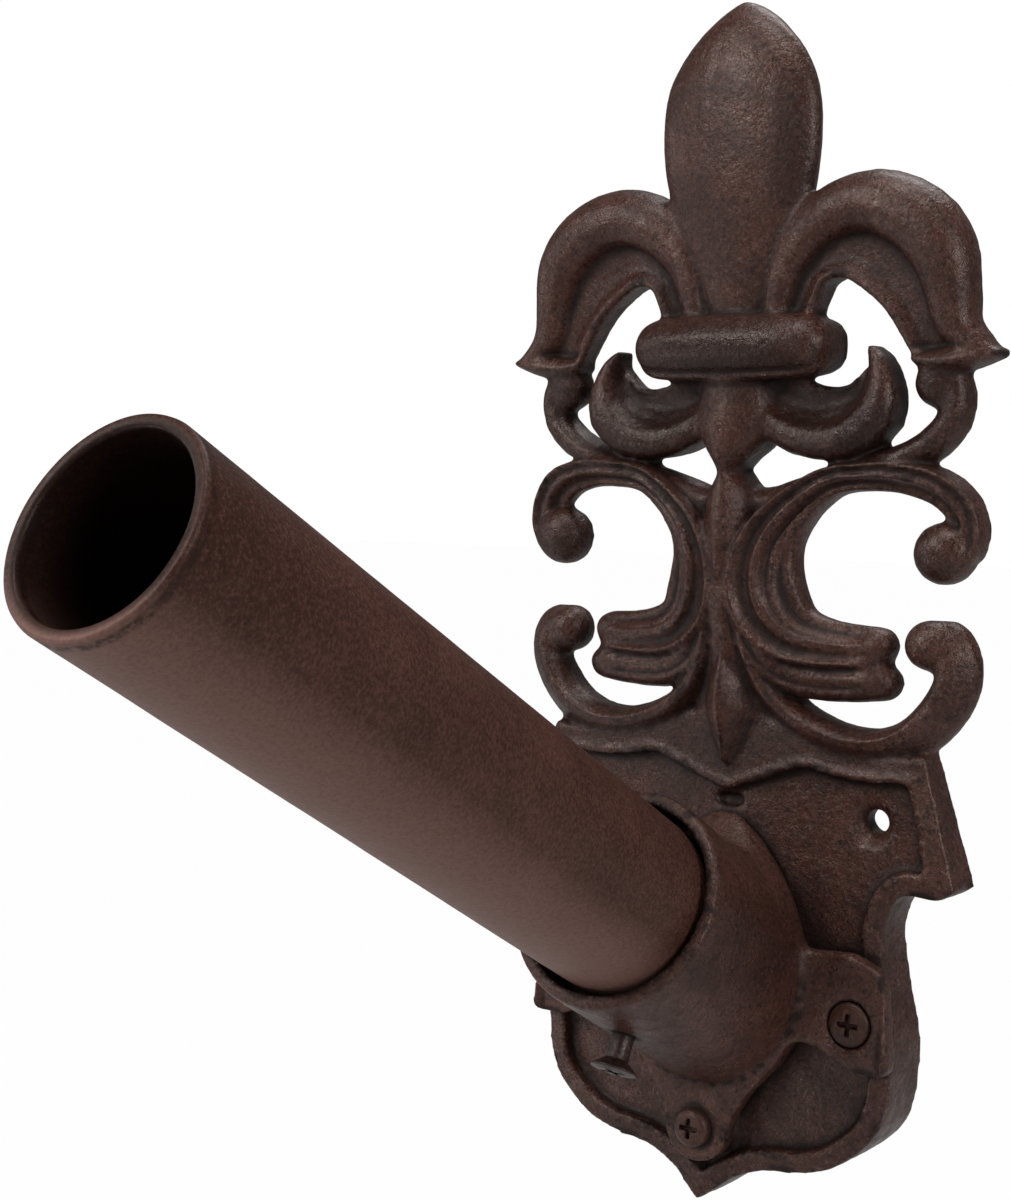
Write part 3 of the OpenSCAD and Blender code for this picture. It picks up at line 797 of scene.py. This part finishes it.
def tube_paint():
    """Brown satin paint on a drawn tube: specked, dark towards the mouth, with painted light underneath
    and painted shade down the bore.
    """
    mat, n = new_paint("tube_paint")
    at = n.node("ShaderNodeTexCoord").outputs["Object"]
    streak = n.noise(along_pole(n, at), 420, 5, 0.62)
    mottle = n.noise(at, 60, 5, 0.6, 0.3)
    patch = n.noise(at, 330, 4, 0.7)
    speck = n.noise(at, 1100, 3, 0.7)
    sand = n.noise(at, 2100, 2, 0.6)
    mouth = n.attribute("behind_mouth")
    colour = n.mix(n.ramp(mottle, 0.3, 0.7), TUBE_DARK, TUBE_BROWN)
    colour = n.mix(n.ramp(streak, 0.5, 0.8, 0, 0.16), colour, PALE)
    # a broad dark band behind the mouth, its edge broken up by the mottle
    band = n.math("ADD", mouth, n.math("MULTIPLY", n.math("SUBTRACT", mottle, 0.5), 30))
    colour = n.mix(n.ramp(band, 42, 8, 0, 0.6), colour, TUBE_BAND)
    colour = n.mix(n.ramp(speck, 0.5, 0.68, 0, 0.4), colour, TUBE_SPECK)
    colour = n.mix(n.ramp(speck, 0.5, 0.36, 0, 0.6), colour, TUBE_PIT)
    colour = n.mix(n.ramp(patch, 0.52, 0.72, 0, 0.3), colour, DARK)
    # painted light on the underside, where light comes up from below
    under = n.ramp(n.attribute("under"), 0.4, 0.95, 0, 1)
    colour = n.mix(n.math("MULTIPLY", under, n.ramp(speck, 0.36, 0.56, 0.7, 0.9)), colour, TUBE_UNDER_LIGHT)
    # the dark scaly ring just behind the mouth's edge
    ring = n.math("MULTIPLY", n.ramp(mouth, 0.9, 1.6), n.ramp(mouth, 3.8, 3.0))
    colour = n.mix(n.math("MULTIPLY", ring, n.ramp(patch, 0.38, 0.56, 0.1, 0.85)), colour, TUBE_RING)
    # painted shade down the bore, darker further in
    bore_shade = n.math("MULTIPLY", n.attribute("bore"), n.ramp(mouth, 1.5, 14, 0.7, 0.9))
    colour = n.mix(bore_shade, colour, BLACK)
    rough = n.ramp(patch, 0.3, 0.75, 0.38, 0.50)
    coat(n, colour, rough, 0.22, [(patch, 0.0003, 0.2), (speck, 0.0002, 0.35), (sand, 0.0001, 0.35)])
    return mat


def assign(piece, mat):
    piece.data.materials.clear()
    piece.data.materials.append(mat)


# ---------- the pieces ----------

PLATE = casting("wall_plate", voxel=0.00075, lump=0.00042, shape=shape_plate)
SOCKET = casting("socket", voxel=0.0007, lump=0.0003, shape=shape_socket)
TUBE = make_tube()
assign(PLATE, painted_iron("plate_paint", DARK, BROWN))
assign(SOCKET, painted_iron("socket_paint", SOCKET_DARK, SOCKET_BROWN, grain=0.9, gloss=0.33))
assign(TUBE, tube_paint())

SCREWS = {}
for name in ("ear_screw_left", "ear_screw_right"):
    SCREWS[name] = fastener(name, paint=12)
SCREWS["ear_screw_bottom"] = fastener("ear_screw_bottom", paint=12, head=0.88)
for name in ("ear_nut_left", "ear_nut_right", "ear_nut_bottom"):
    SCREWS[name] = fastener(name)
# the screws get less painted shade in their recesses
SCREW = painted_iron("screw_paint", SCREW_DARK, SCREW_BROWN, grain=0.6, worn=1.4, gloss=0.36, hollow_shade=0.5)
for piece in SCREWS.values():
    assign(piece, SCREW)
SCREWS["set_screw"] = fastener("set_screw", body="set_screw")
# the set screw's darker paint is painted shade, for the shadow its shank lies in
BOLT_SHADED = painted_iron("bolt_shaded_paint", BOLT_SHADED_DARK, BOLT_SHADED_BROWN, grain=0.8, worn=2.2, gloss=0.30, hollow_shade=0.9)
assign(SCREWS["set_screw"], BOLT_SHADED)


# ---------- floor and light ----------

WHITE = (1, 1, 1, 1)
PAPER = (0.55, 0.55, 0.55, 1)
# how white the floor is where it's seen, and how much of floor and world the glossy paint mirrors
FLOOR_WHITE, FLOOR_MIRRORED, WORLD_MIRRORED = 0.985, 0.15, 0.1
WORLD_FILL = 0.04
FLOOR_Z = -0.30
FLOOR_HALF = 6
LAMP_AIM = Vector((0, -0.05, 0.06))
# name, place, size and power
LAMPS = [
    ("key", (-0.55, -1.0, 0.75), (0.4, 0.4), 6.0),
    ("top", (0.1, -0.35, 1.2), (0.5, 0.5), 5.2),
    ("right", (1.15, -0.3, 0.45), (0.5, 0.5), 5.6),
    ("left", (-1.2, -0.4, 0.3), (0.4, 0.4), 1.2),
    ("low", (-0.8, -0.75, -0.22), (0.5, 0.14), 1.0),
    ("front", (0.1, -1.3, 0.2), (0.5, 0.5), 1.0),
    ("back", (0.0, 0.6, 1.1), (0.6, 0.5), 4.0),
]


def seen_share(n, glossy):
    """1 for rays that show the background itself, and a little for what glossy paint mirrors."""
    path = n.node("ShaderNodeLightPath")
    seen = n.math("MAXIMUM", path.outputs["Is Camera Ray"], path.outputs["Is Transmission Ray"])
    return n.math("MAXIMUM", seen, n.math("MULTIPLY", path.outputs["Is Glossy Ray"], glossy))


def mixed(n, share, a, b):
    """Two shaders in one."""
    both = n.node("ShaderNodeMixShader")
    n.link(share, both.inputs[0])
    n.link(a, both.inputs[1])
    n.link(b, both.inputs[2])
    return both.outputs[0]


def make_floor():
    s = FLOOR_HALF
    mesh = bpy.data.meshes.new("floor")
    mesh.from_pydata([(-s, -s, 0), (s, -s, 0), (s, s, 0), (-s, s, 0)], [], [(0, 1, 2, 3)])
    floor = bpy.data.objects.new("floor", mesh)
    floor.location.z = FLOOR_Z
    SCENE.collection.objects.link(floor)
    mat, n = new_paint("floor_white")
    paper = n.node("ShaderNodeBsdfDiffuse")
    paper.inputs["Color"].default_value = PAPER
    white = n.node("ShaderNodeEmission")
    white.inputs["Color"].default_value = WHITE
    share = n.math("MULTIPLY", seen_share(n, FLOOR_MIRRORED), FLOOR_WHITE)
    n.out("ShaderNodeOutputMaterial", mixed(n, share, paper.outputs[0], white.outputs[0]))
    mesh.materials.append(mat)


def backdrop(n, strength):
    light = n.node("ShaderNodeBackground")
    light.inputs["Color"].default_value = WHITE
    light.inputs["Strength"].default_value = strength
    return light.outputs[0]


def make_world():
    world = bpy.data.worlds.new("studio")
    SCENE.world = world
    world.use_nodes = True
    n = Net(world.node_tree)
    share = seen_share(n, WORLD_MIRRORED)
    n.out("ShaderNodeOutputWorld", mixed(n, share, backdrop(n, WORLD_FILL), backdrop(n, 1.0)))


def make_lamps():
    for name, at, size, power in LAMPS:
        data = bpy.data.lights.new(name, "AREA")
        data.shape = "RECTANGLE"
        data.size, data.size_y = size
        data.energy = power
        lamp = bpy.data.objects.new(name, data)
        lamp.location = at
        lamp.rotation_euler = (LAMP_AIM - Vector(at)).to_track_quat("-Z", "Y").to_euler()
        SCENE.collection.objects.link(lamp)


make_floor()
make_world()
make_lamps()
SCENE.view_settings.view_transform = "Standard"


# ---------- where named points of the object show in the photograph's frame ---

def extreme(uv, u=0, v=0):
    """The point that lies furthest in the direction u, v of the picture."""
    return uv[np.argmax(uv[:, 0] * u + uv[:, 1] * v)]


def middle(uv):
    return (uv.min(0) + uv.max(0)) / 2


def head(name, share, axis):
    """Middle of the front part of a screw, its head."""
    co = points_of(SCREWS[name].data)
    along = co @ np.array(axis)
    return middle(shown(co[along > along.max() - (along.max() - along.min()) * share]))


def write_points():
    pieces = (PLATE, SOCKET, TUBE, *SCREWS.values())
    every = np.concatenate([shown(points_of(piece.data)) for piece in pieces])
    plate_co = points_of(PLATE.data)
    plate, flat = shown(plate_co), face_places(plate_co)

    def part(x0, x1, z0, z1):
        """The plate's points in a box of its face."""
        return plate[np.all((flat > (x0, z0)) & (flat < (x1, z1)), 1)]

    found = {
        "left": (every[:, 0].min(), None),
        "right": (every[:, 0].max(), None),
        "top": (None, every[:, 1].min()),
        "bottom": (None, every[:, 1].max()),
        "crest_tip": extreme(plate, v=-1),
        "right_petal_tip": extreme(part(60, 80, 112, 130), u=1),
        "left_petal_tip": extreme(part(-80, -60, 112, 130), u=-1),
        "collar_left": extreme(part(-31, 0, 122, 128), u=-1),
        "right_scroll_ball": middle(part(51, 68, 62, 79)),
        "left_scroll_ball": middle(part(-68, -51, 62, 79)),
        "wall_hole": shown(np.array([WALL_HOLE_AT]))[0],
        "shield_corner": extreme(part(60, 80, -20, -5), u=1),
        "right_screw": head("ear_screw_right", 0.05, LEAN),
        "bottom_screw": head("ear_screw_bottom", 0.05, LEAN),
        "set_screw_head": head("set_screw", 0.2, SET_SCREW_OUT),
        "tube_mouth_low": extreme(shown(points_of(TUBE.data)), -0.6, 0.8),
        "shield_point": extreme(part(-8, 8, -112, -100), v=1),
    }


write_points()
